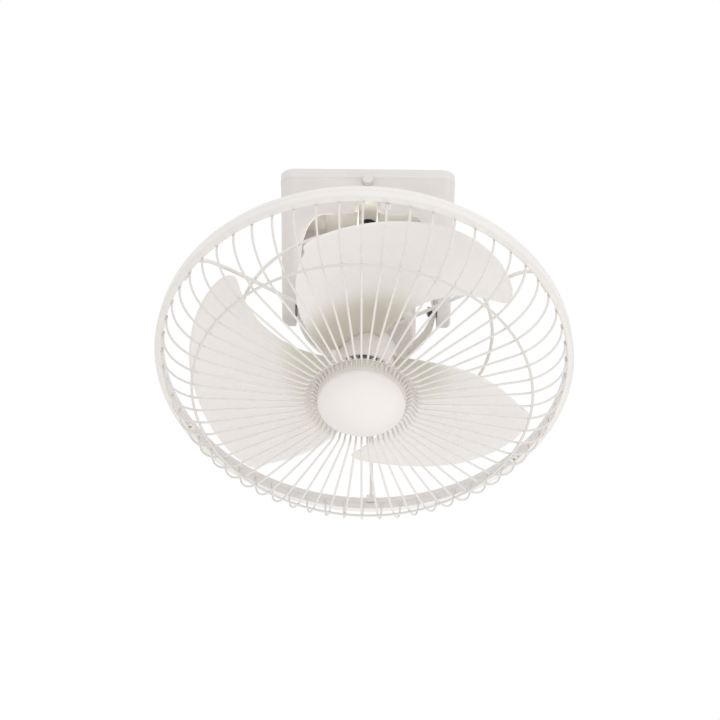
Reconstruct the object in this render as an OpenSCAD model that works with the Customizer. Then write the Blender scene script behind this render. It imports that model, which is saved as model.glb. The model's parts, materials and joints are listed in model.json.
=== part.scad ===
// Orbital ceiling fan: a fan head in a wire guard, hung in a gimbal ring under a ceiling hood.
// The frame's origin is the centre of the plate face that meets the ceiling, +Z up, front at -Y.

/* [Hood and ceiling plate] */
// Width of the hood at the ceiling, left to right
hood_w = 221.5; // [210:0.5:240]
// Depth of the hood at the ceiling, front to back
hood_d = 176; // [166:1:200]
// Corner radius of the hood, seen from below
hood_corner_r = 20; // [12:1:24]
// Height of the straight band round the hood's rim
hood_band_h = 12; // [8:1:16]
// Wall thickness of the hood
hood_wall = 2.5; // [2:0.1:3]
// Depth of the hood at the top of its arched openings
hood_arch_d = 148; // [140:1:156]
// Distance from the ceiling to the top of the arched openings
arch_drop = 56; // [50:1:60]
// Width of the arched openings' round corners
arch_corner_w = 30; // [20:1:36]
// Height of the arched openings' round corners
arch_corner_h = 50; // [30:1:60]
// Radius of the round lower end of each hood leg
leg_end_r = 20.5; // [19.5:0.5:24]
// How far each side of the hood draws in from the ceiling down to the pivot
leg_taper = 4.25; // [3.5:0.25:5]
// Width of each hood leg at the pivot
leg_w = 16.5; // [15:0.5:18]
// Distance from the side of the hood to the edge of the ceiling plate
plate_inset = 12.5; // [10:0.5:14]
// Ceiling plate depth
plate_d = 156; // [140:1:158]
// Ceiling plate thickness
plate_t = 2.5; // [2:0.1:3]
// Spacing of the ceiling screw holes, left to right
ceiling_hole_x = 100; // [90:1:110]
// Spacing of the ceiling screw holes, front to back
ceiling_hole_y = 110; // [100:1:118]
// Diameter of the ceiling screw holes
ceiling_hole_d = 6.5; // [5:0.5:8]
// Diameter of the supply cable's hole
cable_hole_d = 20; // [14:1:22]
// Steel thickness of the hanger arms
arm_t = 3; // [2.5:0.1:3.5]
// Radius of the hanger arms' round lower ends
arm_end_r = 17; // [13:0.5:19]

/* [Gimbal] */
// Distance from the ceiling to the gimbal's centre
pivot_drop = 156; // [152:1:164]
// Forward tilt of the head at rest, which is also the orbit's half angle
tilt = 28; // [24:1:30]
// Sideways sway of the head at rest
sway = 1; // [-3:0.5:3]
// Gap between the hood's legs and the gimbal ring
gimbal_gap = 2.5; // [2.5:0.5:4]
// Thickness of the gimbal ring's strap
gimbal_t = 3; // [2.5:0.1:3.5]
// Width of the gimbal ring's strap
gimbal_w = 20; // [16:1:22]
// Diameter of the pivot bolts' shanks
pivot_d = 8; // [6:0.5:9]

/* [Motor] */
// Gap between the motor housing and the gimbal ring
motor_gap = 21.5; // [20:0.5:24]
// Distance from the gimbal's centre to the housing's front face
motor_front = 50; // [46:1:51]
// Distance from the gimbal's centre to the housing's rear face
motor_rear = 40; // [38:1:44]
// Wall thickness of the motor housing
motor_wall = 2.5; // [2:0.1:3]
// Number of vent slots round each shell
vent_n = 12; // [6:1:16]
// Shaft diameter
shaft_d = 10; // [8:0.5:12]
// Radius of the orbit gearmotor's can
gearmotor_r = 25; // [22:0.5:27]
// Length of the orbit gearmotor's can
gearmotor_l = 20; // [16:0.5:21]
// Radius of the crank disc
crank_r = 44; // [42:0.5:46]

/* [Guard] */
// Outside diameter of the guard
guard_d = 500; // [490:1:520]
// Radial width of the guard's rim
rim_w = 8.5; // [7:0.5:10]
// Depth of the guard's rim, both halves together
rim_h = 20; // [16:1:24]
// Distance from the gimbal's centre to the rim's front lip
lip_drop = 120.5; // [118:0.5:126]
// Number of guard wires
wire_n = 60; // [48:2:64]
// Diameter of the guard wires
wire_d = 2.6; // [2.2:0.1:3]
// Radius of the bend where the guard wires turn in
wire_bend_r = 57; // [50:1:60]
// Depth of the guard's front at the hub, in front of the lip
hub_depth = 53; // [51:0.5:56]
// Radius at which the wires turn back round the hub
hub_bend_r = 70; // [67:0.5:74]
// Diameter of the hub cap
cap_d = 102.6; // [98:0.2:106]
// Radius of the guard's middle ring
mid_ring_r = 197.5; // [188:0.5:200]
// Radius of the rear wire ring
rear_ring_r = 157.7; // [150:1:170]
// Diameter of the rear wire ring's wire
rear_ring_d = 4; // [3:0.5:5]
// Diameter of the struts
strut_d = 4.6; // [4:0.2:5]

/* [Blades] */
// Gap between the blade tips and the rim
blade_tip_gap = 25.9; // [22:0.1:34]
// How far the blades' leading corners lie inside the tips
blade_lead_drop = 23.8; // [18:0.2:30]
// How far the blades' trailing corners lie inside the tips
blade_trail_drop = 20.6; // [16:0.2:28]
// Thickness of the blades
blade_t = 2.6; // [2:0.1:3]
// Advance of the blade surface per radian of turn
blade_pitch = 37.9; // [32:0.1:42]
// Radius of the blade hub
hub_r = 39; // [36:0.5:41]
// Length of the blade hub
hub_l = 53; // [48:1:54]

/* [Hidden] */

$fn = 96;
// Gap between pieces of one body that seat on each other
seat_gap = 0.1;
// Radial gap of a running fit
run_gap = 0.05;
// Gap between faces that turn past each other
turn_gap = 0.3;
// A length that passes right through any wall it cuts
through = 400;
// Overlap that joins two shapes of one solid
bond = 0.5;

white = "#EFEBE3";
cream = "#E6E1D6";
steel = "#B9BABB";
dark = "#3B3B39";
copper = "#B5713A";

// Frames
module at_gimbal() translate([0, 0, -pivot_drop]) rotate([-tilt, 0, 0]) children();
module at_head() at_gimbal() rotate([0, sway, 0]) children();
// Turns a shape drawn on the +X side to a clock position seen from the front, 90 at the top
module at_az(az) rotate([0, 0, -az]) children();
module mirrored_x() { children(); mirror([1, 0, 0]) children(); }
module mirrored_y() { children(); mirror([0, 1, 0]) children(); }
module along_x(x) translate([x, 0, 0]) rotate([0, 90, 0]) children();
module along_y(y) translate([0, y, 0]) rotate([-90, 0, 0]) children();
// Head-frame height of a point h in front of the rim's front lip
function front(h) = -(lip_drop + h);

module tube(ro, ri, h) {
    difference() {
        cylinder(r = ro, h = h);
        translate([0, 0, -1]) cylinder(r = ri, h = h + 2);
    }
}
function arc(c, r, a0, a1, n) =
    [for (i = [0:n]) let (a = a0 + (a1 - a0) * i / n) c + r * [cos(a), sin(a)]];
function smooth(t) = let (s = min(1, max(0, t))) s * s * (3 - 2 * s);

// A round rod bent in the XZ plane along a list of [x, z] points, mitred at each point
function unit(v) = v / norm(v);
function rod_side(p, i) =
    let (a = unit(p[i] - p[max(0, i - 1)] + (i == 0 ? p[1] - p[0] : [0, 0])),
         b = unit(p[min(len(p) - 1, i + 1)] - p[i] + (i == len(p) - 1 ? p[i] - p[i - 1] : [0, 0])),
         t = unit(a + b))
    [-t[1], t[0]] / (t * a);
module bent_rod(path, d, sides) {
    last = len(path) - 1;
    points = [
        for (i = [0:last]) let (n = rod_side(path, i))
            for (j = [0:sides - 1]) let (a = 360 * j / sides)
                [path[i][0] + d / 2 * cos(a) * n[0], d / 2 * sin(a), path[i][1] + d / 2 * cos(a) * n[1]]
    ];
    walls = [
        for (i = [0:last - 1]) for (j = [0:sides - 1])
            let (a = i * sides + j, b = i * sides + (j + 1) % sides)
                each [[a, b, b + sides], [a, b + sides, a + sides]]
    ];
    caps = [
        [for (j = [sides - 1:-1:0]) j],
        [for (j = [0:sides - 1]) last * sides + j]
    ];
    polyhedron(points, concat(walls, caps));
}

// Hood
hood_mid_w = hood_w - 4;
leg_span = hood_w - 2 * leg_taper;
leg_inner_x = leg_span / 2 - leg_w;
leg_wall_top = 30;
// How far the hood's front and back reach past the legs' inner walls at the arch's corners
leg_lip = 7;
arch_corner_x = leg_inner_x - leg_lip - arch_corner_w;
// Notch in the top of each arch, in front of the orbit bracket
notch_w = 32;
notch_h = 20;
hood_screw_drop = 16.5;
hood_screw_d = 5;
// Ring and motor sizes that follow from the hood's
gimbal_r = leg_inner_x - gimbal_gap;
gimbal_in_r = gimbal_r - gimbal_t;
motor_r = gimbal_in_r - motor_gap;
plate_w = hood_w - 2 * plate_inset;

module rounded_plan(w, d, r) {
    for (x = [-1, 1]) for (y = [-1, 1])
        translate([x * (w / 2 - r), y * (d / 2 - r)]) children();
}
module rounded_slab(w, d, r, z) {
    translate([0, 0, z]) rounded_plan(w, d, r) cylinder(r = r, h = 0.02, $fn = 32);
}
// The hood's outer form, drawn in by an inset all round
module hood_form(inset, top) {
    r = hood_corner_r - inset;
    linear_extrude_down(-hood_band_h, top)
        polygon(concat(
            arc([hood_w / 2 - inset - r, hood_d / 2 - inset - r], r, 0, 90, 8),
            arc([-hood_w / 2 + inset + r, hood_d / 2 - inset - r], r, 90, 180, 8),
            arc([-hood_w / 2 + inset + r, -hood_d / 2 + inset + r], r, 180, 270, 8),
            arc([hood_w / 2 - inset - r, -hood_d / 2 + inset + r], r, 270, 360, 8)));
    hull() {
        rounded_slab(hood_w - 0.6 - 2 * inset, hood_d - 0.6 - 2 * inset, r, -hood_band_h);
        rounded_slab(hood_mid_w - 2 * inset, hood_arch_d - 2 * inset, r - 2, -arch_drop);
    }
    hull() {
        rounded_slab(hood_mid_w - 2 * inset, hood_arch_d - 2 * inset, r - 2, -arch_drop);
        translate([0, 0, -pivot_drop]) {
            along_x(-leg_span / 2 + inset + 4)
                cylinder(r = leg_end_r - inset, h = leg_span - 2 * inset - 8, $fn = 64);
            along_x(-leg_span / 2 + inset)
                cylinder(r = leg_end_r - inset - 3, h = leg_span - 2 * inset, $fn = 64);
        }
    }
}
module linear_extrude_down(z0, z1) translate([0, 0, z0]) linear_extrude(z1 - z0) children();

arch_corner = [
    for (p = arc([0, 0], 1, 0, 90, 10))
        [arch_corner_x + arch_corner_w * p[0], -arch_drop - arch_corner_h + arch_corner_h * p[1]]
];
module hood() color(white) {
    difference() {
        hood_form(0, 0);
        difference() {
            hood_form(hood_wall, 1);
            mirrored_x() translate([leg_inner_x, -through / 2, -through - leg_wall_top])
                cube([hood_wall, through, through]);
        }
        rotate([90, 0, 0]) translate([0, 0, -through / 2]) linear_extrude(through)
            polygon(concat(
                [[-leg_inner_x, -pivot_drop], [-leg_inner_x, -through], [leg_inner_x, -through],
                 [leg_inner_x, -pivot_drop]],
                [for (p = arch_corner) [p[0], p[1]]],
                [[notch_w / 2, -arch_drop], [notch_w / 2, -arch_drop + notch_h],
                 [-notch_w / 2, -arch_drop + notch_h], [-notch_w / 2, -arch_drop]],
                [for (i = [len(arch_corner) - 1:-1:0]) [-arch_corner[i][0], arch_corner[i][1]]]));
        translate([0, 0, -pivot_drop]) mirrored_x() along_x(leg_inner_x - 1)
            cylinder(r = spacer_r + 1, h = hood_wall + 2);
        translate([0, 0, -hood_screw_drop]) along_y(-through / 2)
            cylinder(d = hood_screw_d + 0.6, h = through);
    }
}

// Ceiling plate: its tabs reach down inside the hood's front and back for the thumbscrews
tab_w = 26;
tab_y = hood_d / 2 - hood_wall - 5.5;
tab_t = 2;
module ceiling_plate() color(cream) {
    difference() {
        union() {
            translate([-plate_w / 2, -plate_d / 2, -plate_t]) cube([plate_w, plate_d, plate_t]);
            mirrored_y() translate([-tab_w / 2, 0, -plate_t]) cube([tab_w, tab_y, plate_t]);
            mirrored_y() translate([-tab_w / 2, tab_y - tab_t, -hood_screw_drop - 7])
                cube([tab_w, tab_t, hood_screw_drop + 7]);
        }
        for (x = [-1, 1]) for (y = [-1, 1])
            translate([x * ceiling_hole_x / 2, y * ceiling_hole_y / 2, -plate_t - 1])
                cylinder(d = ceiling_hole_d, h = plate_t + 2);
        translate([0, cable_hole_y, -plate_t - 1]) cylinder(d = cable_hole_d, h = plate_t + 2);
        bracket_screw_places() translate([0, 0, -plate_t - 1])
            cylinder(d = bracket_screw_d, h = plate_t + 2);
        translate([0, 0, -hood_screw_drop]) along_y(-through / 2)
            cylinder(d = hood_screw_d, h = through);
    }
}
cable_hole_y = 48;

thumb_r = 7;
thumb_t = 5;
thumb_neck_r = 5.4;
thumb_neck_t = 1.6;
module hood_thumbscrews() color(white) {
    mirrored_y() translate([0, 0, -hood_screw_drop]) {
        along_y(hood_d / 2 + 0.3) {
            cylinder(r = thumb_neck_r, h = thumb_neck_t);
            translate([0, 0, thumb_neck_t - 0.4]) cylinder(r1 = thumb_r, r2 = thumb_r - 0.6, h = thumb_t);
        }
        along_y(tab_y - tab_t - 2)
            cylinder(d = hood_screw_d - 2 * seat_gap, h = hood_d / 2 - tab_y + tab_t + 3);
    }
}

// Hanger arms: a foot bolted under the plate and a flat arm down inside each hood leg
arm_x = leg_inner_x + hood_wall + 0.5;
arm_foot_x = plate_w / 2 - 28;
arm_foot_w = 60;
bracket_screw_d = 5;
bracket_screw_x = plate_w / 2 - 19;
bracket_screw_y = 20;
bracket_screw_head_r = 4.5;
bracket_screw_head_t = 3;
foot_top = -plate_t - seat_gap;
module bracket_screw_places() {
    for (x = [-1, 1]) for (y = [-1, 1])
        translate([x * bracket_screw_x, y * bracket_screw_y]) children();
}
module hanger_arm() {
    difference() {
        union() {
            translate([arm_foot_x, -arm_foot_w / 2, foot_top - arm_t])
                cube([arm_x + arm_t - arm_foot_x, arm_foot_w, arm_t]);
            along_x(arm_x) linear_extrude(arm_t) polygon([
                [-foot_top, -arm_foot_w / 2], [-foot_top, arm_foot_w / 2],
                [pivot_drop, arm_end_r], [pivot_drop, -arm_end_r]
            ]);
            translate([0, 0, -pivot_drop]) along_x(arm_x) cylinder(r = arm_end_r, h = arm_t);
        }
        translate([0, 0, -pivot_drop]) along_x(arm_x - 1)
            cylinder(d = pivot_d + 2 * seat_gap, h = arm_t + 2);
        for (y = [-1, 1]) translate([bracket_screw_x, y * bracket_screw_y, foot_top - arm_t - 1])
            cylinder(d = bracket_screw_d + 0.4, h = arm_t + 2);
    }
}
module hanger_arm_right() color(steel) hanger_arm();
module hanger_arm_left() color(steel) mirror([1, 0, 0]) hanger_arm();

module bracket_screws() color(steel) bracket_screw_places() {
    translate([0, 0, foot_top - arm_t - seat_gap - bracket_screw_head_t])
        cylinder(r = bracket_screw_head_r, h = bracket_screw_head_t);
    translate([0, 0, foot_top - arm_t - seat_gap - 0.5])
        cylinder(d = bracket_screw_d - 2 * seat_gap, h = arm_t + plate_t + 0.3);
}

// Orbit bracket: a channel under the plate whose cheeks carry the crank's fixed bush
channel_half = 11.5;
channel_t = 2;
channel_depth = 44;
wing_w = 42;
wing_drop = 24;
// Everything that turns with the head behind the gimbal stays inside this radius
orbit_r = 89.7;
bush_face = -pivot_drop + orbit_r + turn_gap;
bush_r = 8;
bush_flange_r = 10.5;
bush_flange_l = 4;
module orbit_bracket() color(cream) {
    outer = channel_half + channel_t;
    web_z = foot_top - channel_t;
    floor_z = bush_face + bush_flange_l;
    difference() {
        union() {
            translate([-outer - wing_w, -channel_depth / 2, web_z])
                cube([2 * (outer + wing_w), channel_depth, channel_t]);
            mirrored_x() translate([channel_half, -channel_depth / 2, floor_z])
                cube([channel_t, channel_depth, web_z - floor_z + bond]);
            translate([-outer, -channel_depth / 2, floor_z])
                cube([2 * outer, channel_depth, channel_t]);
            mirrored_x() translate([outer, -channel_depth / 2, -wing_drop])
                cube([wing_w, channel_t, wing_drop + web_z + bond]);
        }
        translate([0, 0, floor_z - 1]) cylinder(r = bush_r + seat_gap, h = channel_t + 2);
    }
}
module orbit_bush() color(dark) {
    floor_z = bush_face + bush_flange_l;
    difference() {
        union() {
            translate([0, 0, bush_face]) cylinder(r = bush_flange_r, h = bush_flange_l - seat_gap);
            translate([0, 0, bush_face + 1]) cylinder(r = bush_r, h = bush_flange_l + 8);
            translate([0, 0, floor_z + channel_t + seat_gap]) cylinder(r = bush_flange_r, h = 5);
        }
        translate([0, 0, bush_face + 2]) cylinder(r = 3, h = 20);
    }
}

// Supply parts under the plate, in front of the bracket
supply_y = -56;
supply_d = 22;
terminal_x = -52;
terminal_w = 36;
terminal_h = 14;
terminal_hole_d = 4.4;
module terminal_block() color(white) {
    difference() {
        translate([terminal_x, supply_y, foot_top - terminal_h]) cube([terminal_w, supply_d, terminal_h]);
        for (i = [0:2]) for (y = [6, 16])
            translate([terminal_x + terminal_w * (i + 0.5) / 3, supply_y + y, foot_top - terminal_h - 1])
                cylinder(d = terminal_hole_d, h = 6);
    }
}
capacitor_x = 16;
capacitor_w = 44;
capacitor_h = 18;
module capacitor() color(dark) {
    translate([capacitor_x, supply_y, foot_top - capacitor_h]) cube([capacitor_w, supply_d, capacitor_h]);
    translate([capacitor_x + capacitor_w - bond, supply_y + 8, foot_top - 4]) cube([8, 6, 4]);
}

// Tilt pivot, left and right: bolt through the arm, spacer, ring bush and nut
spacer_r = 6.5;
bush_wall = 2;
bush_flange_t = 1.5;
bush_x = gimbal_r + bush_flange_t;
nut_x = gimbal_in_r - 0.6;
nut_t = 5.5;
nut_r = 7;
bolt_head_r = 7;
bolt_head_t = 4.5;
module tilt_pivot(side) translate([0, 0, -pivot_drop]) mirror([side < 0 ? 1 : 0, 0, 0]) children();
module both_tilt_pivots() { tilt_pivot(1) children(); tilt_pivot(-1) children(); }
module tilt_pivot_bolts() color(steel) both_tilt_pivots() {
    along_x(nut_x - nut_t - 1.5) cylinder(d = pivot_d, h = arm_x + arm_t - nut_x + nut_t + 2);
    along_x(arm_x + arm_t + seat_gap) cylinder(r = bolt_head_r, h = bolt_head_t, $fn = 6);
}
module tilt_pivot_spacers() color(dark) both_tilt_pivots()
    along_x(bush_x + turn_gap)
        tube(spacer_r, pivot_d / 2 + seat_gap, arm_x - bush_x - turn_gap - seat_gap);
module tilt_pivot_nuts() color(dark) both_tilt_pivots() along_x(nut_x - nut_t) difference() {
    cylinder(r = nut_r, h = nut_t, $fn = 6);
    translate([0, 0, -1]) cylinder(d = pivot_d + 2 * seat_gap, h = nut_t + 2);
}

// Gimbal ring: a strap with two pivot holes for the arms and two for the motor
module gimbal_holes(r) {
    along_x(-through / 2) cylinder(r = r, h = through);
    along_y(-through / 2) cylinder(r = r, h = through);
}
module gimbal_ring() color(cream) at_gimbal() difference() {
    translate([0, 0, -gimbal_w / 2]) tube(gimbal_r, gimbal_in_r, gimbal_w, $fn = 128);
    gimbal_holes(pivot_d / 2 + bush_wall + seat_gap);
}
module gimbal_bush() {
    difference() {
        union() {
            along_x(gimbal_in_r + 0.2) cylinder(r = pivot_d / 2 + bush_wall, h = gimbal_t);
            along_x(gimbal_r + seat_gap)
                cylinder(r = pivot_d / 2 + bush_wall + 2, h = bush_flange_t - seat_gap);
        }
        along_x(gimbal_in_r - 1) cylinder(r = pivot_d / 2 + run_gap, h = gimbal_t + 5);
    }
}
module gimbal_bushes() color(white) at_gimbal()
    for (a = [0:90:270]) rotate([0, 0, a]) gimbal_bush();

// Motor housing: two shells that meet behind the sway axis
shell_joint = 12;
shell_bevel = 12;
bearing_r = 13;
bearing_w = 9;
boss_r = 9;
boss_end = gimbal_in_r - 1;
module vents(z, l) {
    for (i = [0:vent_n - 1]) rotate([0, 0, i * 360 / vent_n])
        translate([motor_r - 8, -2, z]) cube([12, 4, l]);
}
// One shell, drawn with its closed end up: rim at z = 0, end face at z = h
module shell(h, end_bevel, vent_l) {
    difference() {
        rotate_extrude($fn = 128) polygon([
            [shaft_d / 2 + 2, h - 3], [shaft_d / 2 + 2, h], [motor_r - end_bevel, h],
            [motor_r - end_bevel * 0.35, h - end_bevel * 0.35], [motor_r, h - end_bevel], [motor_r, 0],
            [motor_r - motor_wall, 0], [motor_r - motor_wall, h - end_bevel],
            [motor_r - end_bevel - 1, h - 3], [bearing_r + 3, h - 3],
            [bearing_r + 3, h - 3 - bearing_w],
            [bearing_r + seat_gap, h - 3 - bearing_w], [bearing_r + seat_gap, h - 3 - seat_gap],
            [bearing_r - 2, h - 3 - seat_gap], [bearing_r - 2, h - 3]
        ]);
        vents(h - end_bevel - 4 - vent_l, vent_l);
    }
}
module motor_front_shell() color(white) at_head() difference() {
    union() {
        translate([0, 0, shell_joint]) rotate([180, 0, 0])
            shell(motor_front + shell_joint, shell_bevel, 16);
        mirrored_y() along_y(motor_r - 2) cylinder(r = boss_r, h = boss_end - motor_r + 2);
        shell_screw_places() translate([0, 0, shell_joint - 10]) cylinder(r = 4.5, h = 10);
    }
    mirrored_y() along_y(motor_r - motor_wall - 8) cylinder(d = pivot_d + 2 * seat_gap, h = 40);
    shell_screw_places() translate([0, 0, shell_joint - 9]) cylinder(d = 3.4, h = 20);
}
module motor_rear_shell() color(white) at_head() difference() {
    union() {
        translate([0, 0, shell_joint + seat_gap]) shell(motor_rear - shell_joint - seat_gap, 9, 11);
        shell_screw_places() translate([0, 0, shell_joint + seat_gap]) cylinder(r = 4.5, h = 6);
    }
    shell_screw_places() translate([0, 0, shell_joint]) cylinder(d = 4.2, h = 8);
    gearmotor_screw_places() translate([0, 0, motor_rear - 6]) cylinder(d = 2.8, h = 10);
}
module shell_screw_places() {
    for (a = [45:90:315]) rotate([0, 0, a]) translate([motor_r + 3.6, 0]) children();
}
module shell_screws() color(steel) at_head() shell_screw_places() {
    translate([0, 0, shell_joint + 6 + 2 * seat_gap]) cylinder(r = 3.2, h = 2.6);
    translate([0, 0, shell_joint - 8]) cylinder(d = 3.2, h = 15);
}
stator_r = motor_r - motor_wall - seat_gap;
stator_l = 34;
stator_z = -stator_l / 2 - 5;
rotor_r = 31;
module stator_core() color(steel) at_head() translate([0, 0, stator_z])
    tube(stator_r, rotor_r + 0.6, stator_l);
winding_r = stator_r - 12.4;
winding_w = 12;
winding_l = 9;
module stator_windings() color(copper) at_head() {
    for (z = [stator_z - seat_gap - winding_l, stator_z + stator_l + seat_gap]) translate([0, 0, z])
        tube(winding_r, winding_r - winding_w, winding_l);
}
front_bearing_z = -motor_front + 3 + 2 * seat_gap;
rear_bearing_z = motor_rear - 3 - bearing_w - 2 * seat_gap;
module shaft_bearings() color(steel) at_head()
    for (z = [front_bearing_z, rear_bearing_z]) translate([0, 0, z])
        tube(bearing_r, shaft_d / 2 + run_gap, bearing_w);

module sway_pivot_screws() color(steel) at_head() mirrored_y() {
    along_y(stator_r + 0.6) cylinder(d = pivot_d, h = bush_x + turn_gap - stator_r);
    along_y(bush_x + turn_gap) cylinder(r = 6.5, h = 3.5);
}

// Orbit gearmotor on the rear shell, with its output shaft on the head's axis
gearmotor_z = motor_rear + seat_gap;
output_r = 3;
gearmotor_lug = 33;
module gearmotor_screw_places() mirrored_x() translate([gearmotor_lug - 4, 0]) children();
module orbit_gearmotor() color(steel) at_head() translate([0, 0, gearmotor_z]) difference() {
    union() {
        cylinder(r = gearmotor_r, h = gearmotor_l);
        translate([-gearmotor_lug, -5, 0]) cube([2 * gearmotor_lug, 10, 1.5]);
        translate([0, 0, gearmotor_l - bond]) cylinder(r = 6, h = 1.5);
    }
    translate([0, 0, 6]) cylinder(r = output_r + run_gap, h = 30);
    gearmotor_screw_places() translate([0, 0, -1]) cylinder(d = 3.4, h = 4);
}
module gearmotor_screws() color(dark) at_head() gearmotor_screw_places() {
    translate([0, 0, gearmotor_z + 1.5 + seat_gap]) cylinder(r = 3, h = 2);
    translate([0, 0, motor_rear - 5]) cylinder(d = 2.6, h = 8);
}

// Crank: its pin stands on the vertical line through the gimbal's centre at every point of the orbit
crank_t = 3;
crank_z = gearmotor_z + gearmotor_l + 1.5;
crank_ball_r = 5;
module crank_shaft() color(steel) at_head() translate([0, 0, gearmotor_z + 6.5])
    cylinder(r = output_r, h = crank_z + crank_t - gearmotor_z - 6.5);
module crank_disc() color(cream) difference() {
    at_head() difference() {
        union() {
            translate([0, 0, crank_z]) cylinder(r = crank_r, h = crank_t);
            translate([0, 0, crank_z]) cylinder(r = 8, h = crank_t + 3);
        }
        translate([0, 0, crank_z - 1]) cylinder(r = output_r + seat_gap / 2, h = 20);
    }
    translate([0, 0, -pivot_drop]) cylinder(r = 3.5 + seat_gap, h = orbit_r);
}
module crank_pin() color(steel) {
    crank_out = crank_z / cos(tilt);
    translate([0, 0, -pivot_drop]) {
        translate([0, 0, crank_out - 4]) cylinder(r = 3.5, h = orbit_r - crank_out + 4 - crank_ball_r);
        translate([0, 0, orbit_r - crank_ball_r]) sphere(r = crank_ball_r, $fn = 48);
    }
}

// Rear of the guard: plate, struts, wire ring and feet
strut_az = [31.4, 147, 272.5];
strut_plate_r = 58;
strut_plate_z = -motor_front - seat_gap;
strut_plate_t = 2;
strut_flat_h = -(lip_drop + strut_plate_z - strut_plate_t - seat_gap - strut_d / 2);
rim_in_r = guard_d / 2 - rim_w;
strut_end_r = rim_in_r - seat_gap - strut_d / 2 - 0.2;
strut_start_r = 30;
strut_bend_r = 34;
strut_path = concat(
    [[strut_start_r, front(strut_flat_h)], [rear_ring_r * 0.65, front(strut_flat_h)],
     [rear_ring_r, front(strut_flat_h + 1.5)], [rear_ring_r + 32, front(strut_flat_h + 3.5)]],
    [for (p = arc([strut_end_r - strut_bend_r, strut_flat_h + strut_bend_r + 6], strut_bend_r, -78, 0, 6))
        [p[0], front(p[1])]],
    [[strut_end_r, front(-rim_h - 1)]]);
module strut(i) color(cream) at_head() at_az(strut_az[i]) bent_rod(strut_path, strut_d, 8);
module strut_right() strut(0);
module strut_left() strut(1);
module strut_bottom() strut(2);
module strut_plate() color(cream) at_head() translate([0, 0, strut_plate_z - strut_plate_t])
    tube(strut_plate_r, 16, strut_plate_t);
foot_t = 3.6;
foot_w = 12;
module strut_feet() color(cream) at_head() for (az = strut_az) at_az(az)
    translate([rim_in_r - foot_t - 0.7, -foot_w / 2, front(-rim_h / 2 - 0.5)])
        cube([foot_t, foot_w, rim_h / 2 + 0.5 - seat_gap]);
module rear_wire_ring() color(cream) at_head()
    translate([0, 0, front(strut_flat_h + 1.5) + strut_d / 2 + rear_ring_d / 2 + 0.2])
        rotate_extrude($fn = 160) translate([rear_ring_r, 0]) circle(d = rear_ring_d, $fn = 24);

// Guard rim: two hoops that meet at a seam halfway along the rim
rim_edge_r = 2.8;
function rim_half(h0, h1) = concat(
    [[rim_in_r, front(h0)], [guard_d / 2, front(h0)]],
    arc([guard_d / 2 - rim_edge_r, front(h1) + sign(h1 - h0) * rim_edge_r], rim_edge_r,
        0, -sign(h1 - h0) * 90, 5),
    arc([rim_in_r + rim_edge_r * 0.6, front(h1) + sign(h1 - h0) * rim_edge_r * 0.6], rim_edge_r * 0.6,
        -sign(h1 - h0) * 90, -sign(h1 - h0) * 180, 4));
module guard_ring_front() color(white) at_head()
    rotate_extrude($fn = 200) polygon(rim_half(-rim_h / 2 + seat_gap, 0));
module guard_ring_rear() color(white) at_head()
    rotate_extrude($fn = 200) polygon(rim_half(-rim_h / 2 - seat_gap, -rim_h));
// Each clip straddles a guard wire on the inside of the rim
clip_l = 7;
clip_w = 10;
clip_h = 5;
clip_wall = 1.8;
module ring_clips() color(white) at_head() for (az = [84, 204, 324]) at_az(az)
    translate([rim_in_r - seat_gap - clip_l, 0, front(0.5)]) difference() {
        translate([0, -clip_w / 2, 0]) cube([clip_l, clip_w, clip_h]);
        translate([clip_wall, -wire_d / 2 - 0.2, -1]) cube([clip_l, wire_d + 0.4, clip_h + 2]);
    }

// Guard wires: down the rim's inside, round the bend, in to the hub and back under the cap
wire_r0 = rim_in_r - seat_gap - wire_d / 2;
wire_floor_h = 41;
wire_end_r = cap_d / 2 - 1.8;
wire_path_h = concat(
    [[wire_r0, -rim_h / 2 + 1]],
    arc([wire_r0 - wire_bend_r, hub_depth - 2.3 - wire_bend_r], wire_bend_r, 0, 90, 5),
    [[hub_bend_r + 4, hub_depth], [hub_bend_r - 2.5, hub_depth - 1.5],
     [hub_bend_r - 6.5, hub_depth - 6.5], [hub_bend_r - 11, wire_floor_h + 1],
     [wire_end_r, wire_floor_h]]);
wire_path = [for (p = wire_path_h) [p[0], front(p[1])]];
module guard_wires() color(white) at_head()
    for (i = [0:wire_n - 1]) at_az(90 + i * 360 / wire_n) bent_rod(wire_path, wire_d, 6);

// Bar across three wires at the bottom, just inside their bend
tie_bar_d = 2.4;
tie_bar_az = 264;
tie_bar_bend = 40;
tie_bar_bend_r = wire_bend_r - wire_d / 2 - tie_bar_d / 2 - 0.5;
tie_bar_r = wire_r0 - wire_bend_r + tie_bar_bend_r * cos(tie_bar_bend);
tie_bar_h = hub_depth - 2.3 - wire_bend_r + tie_bar_bend_r * sin(tie_bar_bend);
tie_bar_half = tie_bar_r * sin(360 / wire_n) + 2;
module guard_tie_bar() color(white) at_head() at_az(tie_bar_az)
    translate([tie_bar_r * cos(360 / wire_n), 0, front(tie_bar_h)])
        along_y(-tie_bar_half) cylinder(d = tie_bar_d, h = 2 * tie_bar_half);

// Depth of the wires' centre line in front of the lip at a radius
function wire_depth(r) = lookup(r, wire_path_h);
mid_ring_wire_d = 3;
module guard_middle_ring() color(white) at_head()
    translate([0, 0, front(wire_depth(mid_ring_r) + wire_d / 2 + mid_ring_wire_d / 2 + 0.2)])
        rotate_extrude($fn = 180) translate([mid_ring_r, 0]) circle(d = mid_ring_wire_d, $fn = 24);
hub_plate_h = wire_floor_h - wire_d / 2 - 0.2;
hub_plate_t = 1.6;
hub_plate_r = cap_d / 2 + 4.7;
cap_screw_d = 4;
module guard_hub_plate() color(white) at_head() translate([0, 0, front(hub_plate_h)])
    tube(hub_plate_r, cap_screw_d / 2 + 0.6, hub_plate_t);

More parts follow.
